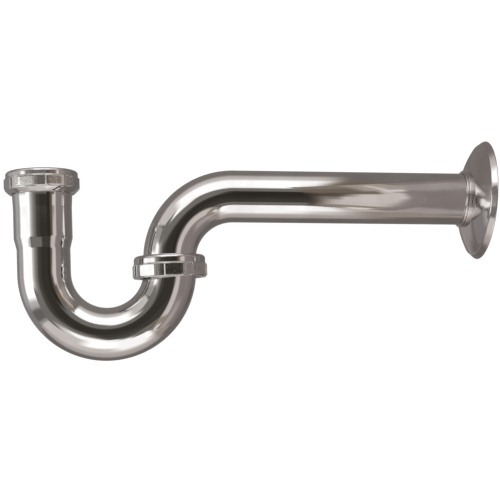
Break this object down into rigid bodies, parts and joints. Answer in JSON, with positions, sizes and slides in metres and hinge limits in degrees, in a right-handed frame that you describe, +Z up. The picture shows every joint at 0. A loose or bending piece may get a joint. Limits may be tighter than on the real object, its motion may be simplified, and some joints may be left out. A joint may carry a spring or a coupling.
{
  "type": "p trap",
  "caption": "Tubular basin P-trap: belled J-bend, wall bend with long arm, two slip nuts with seals, and a bell escutcheon at the wall.",
  "frame": {"origin": "centre of the inlet mouth, on the inlet axis", "axes": "+Z up along the inlet axis, the way the tailpiece comes out; +X towards the wall; the object is symmetric about the XZ plane but for its threads and the turn of its nuts"},
  "size_m": [0.3561, 0.0878, 0.1513],
  "materials": {
    "chromed_tube": "polished chrome plate on brass tube",
    "chromed_casting": "bright chrome plate on a die casting",
    "chromed_spinning": "polished chrome plate on spun brass",
    "brass": "machined",
    "seal_rubber": "moulded, matte",
    "slip_ring": "natural nylon",
    "spring_steel": "drawn wire"
  },
  "bodies": {
    "j_bend": {"j_bend": "chromed_tube", "outlet_ferrule": "brass", "inlet_washer": "seal_rubber", "outlet_washer": "seal_rubber"},
    "inlet_ring": {"inlet_friction_ring": "slip_ring"},
    "inlet_nut": {"inlet_slip_nut": "chromed_casting"},
    "union_ring": {"outlet_friction_ring": "slip_ring"},
    "outlet_nut": {"outlet_slip_nut": "chromed_casting"},
    "wall_bend": {"wall_bend": "chromed_tube"},
    "escutcheon_grip": {"escutcheon_spring": "spring_steel"},
    "escutcheon": {"escutcheon": "chromed_spinning"}
  },
  "joints": [
    {"name": "inlet_nut_travel", "type": "slide", "parent": "j_bend", "child": "inlet_ring", "axis": [0, 0, 1], "range_m": [0, 0.00883]},
    {"name": "inlet_nut_spin", "type": "hinge", "parent": "inlet_ring", "child": "inlet_nut", "pos_m": [0, 0, 0], "axis": [0, 0, 1], "range_deg": [0, 1440]},
    {"name": "union_lift", "type": "slide", "parent": "j_bend", "child": "union_ring", "axis": [0, 0, 1], "range_m": [0, 0.00883]},
    {"name": "outlet_nut_spin", "type": "hinge", "parent": "union_ring", "child": "outlet_nut", "pos_m": [0.09, 0, -0.0642], "axis": [0, 0, 1], "range_deg": [0, 1440]},
    {"name": "wall_bend_swivel", "type": "hinge", "parent": "union_ring", "child": "wall_bend", "pos_m": [0.09, 0, -0.0617], "axis": [0, 0, 1], "range_deg": [-120, 120]},
    {"name": "escutcheon_slide", "type": "slide", "parent": "wall_bend", "child": "escutcheon_grip", "axis": [0.9991, 0, -0.0419], "range_m": [-0.155, 0]},
    {"name": "escutcheon_turn", "type": "hinge", "parent": "escutcheon_grip", "child": "escutcheon", "pos_m": [0.30889, 0, -0.02209], "axis": [0.9956, 0, -0.0941], "continuous": true}
  ],
  "couplings": [
    {"joint": "inlet_nut_spin", "follows": "inlet_nut_travel", "rad_per_m": 2844.7},
    {"joint": "outlet_nut_spin", "follows": "union_lift", "rad_per_m": 2844.7}
  ]
}
